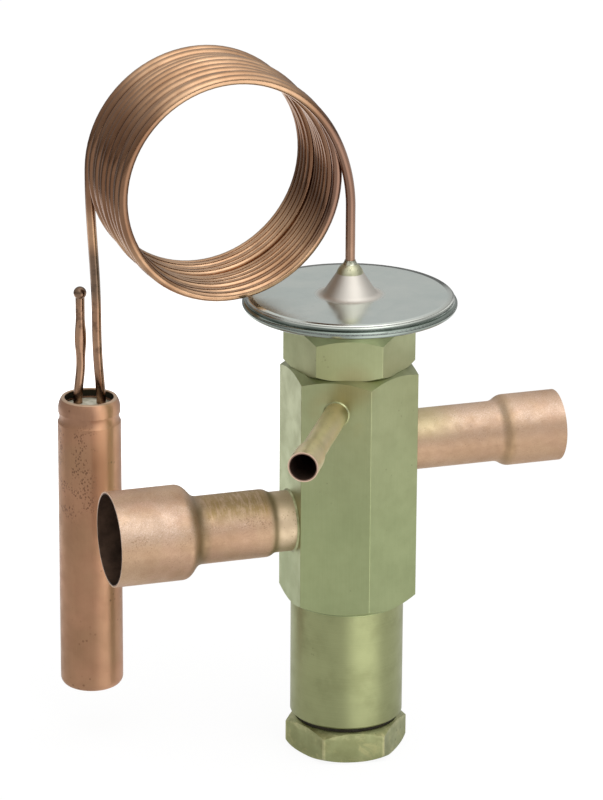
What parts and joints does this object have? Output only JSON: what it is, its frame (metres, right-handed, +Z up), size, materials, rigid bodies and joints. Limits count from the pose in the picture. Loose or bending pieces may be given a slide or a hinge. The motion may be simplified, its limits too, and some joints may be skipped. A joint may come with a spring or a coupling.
{
  "type": "refrigerant expansion valve",
  "caption": "Refrigerant expansion valve: hexagonal brass body with copper solder sockets, a round power head with wound sensing tube and bulb, and a cap nut over the adjusting spindle.",
  "frame": {"origin": "centre of the flat bottom face of the cap nut, on the valve's axis", "axes": "+Z up along the valve's axis towards the power head, +X out of the inlet socket, -X out of the outlet socket"},
  "size_m": [0.1198, 0.0857, 0.1777],
  "materials": {
    "body_brass": "satin, turned and milled, pale olive tint",
    "cap_brass": "satin, turned, pale olive tint",
    "inner_brass": "fine turned",
    "stub_copper": "matt pickled copper with fine specks",
    "tube_copper": "drawn copper, softly shining",
    "bulb_copper": "drawn copper, softly shining",
    "zinc_steel": "smooth zinc plate, softly shining",
    "spring_steel": "bright steel",
    "braze_metal": "smooth braze metal",
    "solder_metal": "bright solder",
    "collar_metal": "pale matt metal",
    "plug_solder": "dull pale solder",
    "seal_rubber": "matt black",
    "washer_fibre": "matt dark"
  },
  "bodies": {
    "valve": {"valve_body": "body_brass", "head_nut": "body_brass", "gland_nut": "cap_brass", "inlet_stub": "stub_copper", "outlet_stub": "stub_copper", "equalizer_stub": "stub_copper", "inlet_braze": "braze_metal", "outlet_braze": "braze_metal", "equalizer_braze": "braze_metal", "capillary_solder": "solder_metal", "capillary_collar": "collar_metal", "upper_shell": "zinc_steel", "lower_shell": "zinc_steel", "diaphragm": "spring_steel", "capillary_tube": "tube_copper", "filler_tube": "tube_copper", "bulb_shell": "bulb_copper", "bulb_plug": "plug_solder", "superheat_spring": "spring_steel", "orifice_seat": "inner_brass", "seal_retainer": "inner_brass", "rod_seal": "seal_rubber", "spindle_seal": "seal_rubber", "head_washer": "washer_fibre"},
    "stem": {"push_rod": "spring_steel", "buffer_plate": "spring_steel", "valve_pin": "spring_steel", "pin_carrier": "inner_brass"},
    "adjuster": {"spring_adjuster": "inner_brass"},
    "spindle": {"adjusting_spindle": "inner_brass"},
    "cap_seat": {"cap_washer": "washer_fibre"},
    "cap": {"cap_nut": "cap_brass"}
  },
  "joints": [
    {"name": "valve_stroke", "type": "slide", "parent": "valve", "child": "stem", "axis": [0, 0, -1], "range_m": [0, 0.0008], "stiffness_N_per_m": 8000, "springref_m": -0.003, "deforming": ["superheat_spring"]},
    {"name": "adjust_turn", "type": "hinge", "parent": "valve", "child": "spindle", "pos_m": [0, 0, 0.02], "axis": [0, 0, 1], "range_deg": [0, 1080]},
    {"name": "adjust_travel", "type": "slide", "parent": "valve", "child": "adjuster", "axis": [0, 0, 1], "range_m": [0, 0.003], "deforming": ["superheat_spring"]},
    {"name": "cap_travel", "type": "slide", "parent": "valve", "child": "cap_seat", "axis": [0, 0, -1], "range_m": [0, 0.006]},
    {"name": "cap_turn", "type": "hinge", "parent": "cap_seat", "child": "cap", "pos_m": [0, 0, 0.004], "axis": [0, 0, -1], "range_deg": [0, 1440]}
  ],
  "couplings": [
    {"joint": "adjust_turn", "follows": "adjust_travel", "rad_per_m": 6283.2},
    {"joint": "cap_turn", "follows": "cap_travel", "rad_per_m": 4188.8}
  ]
}
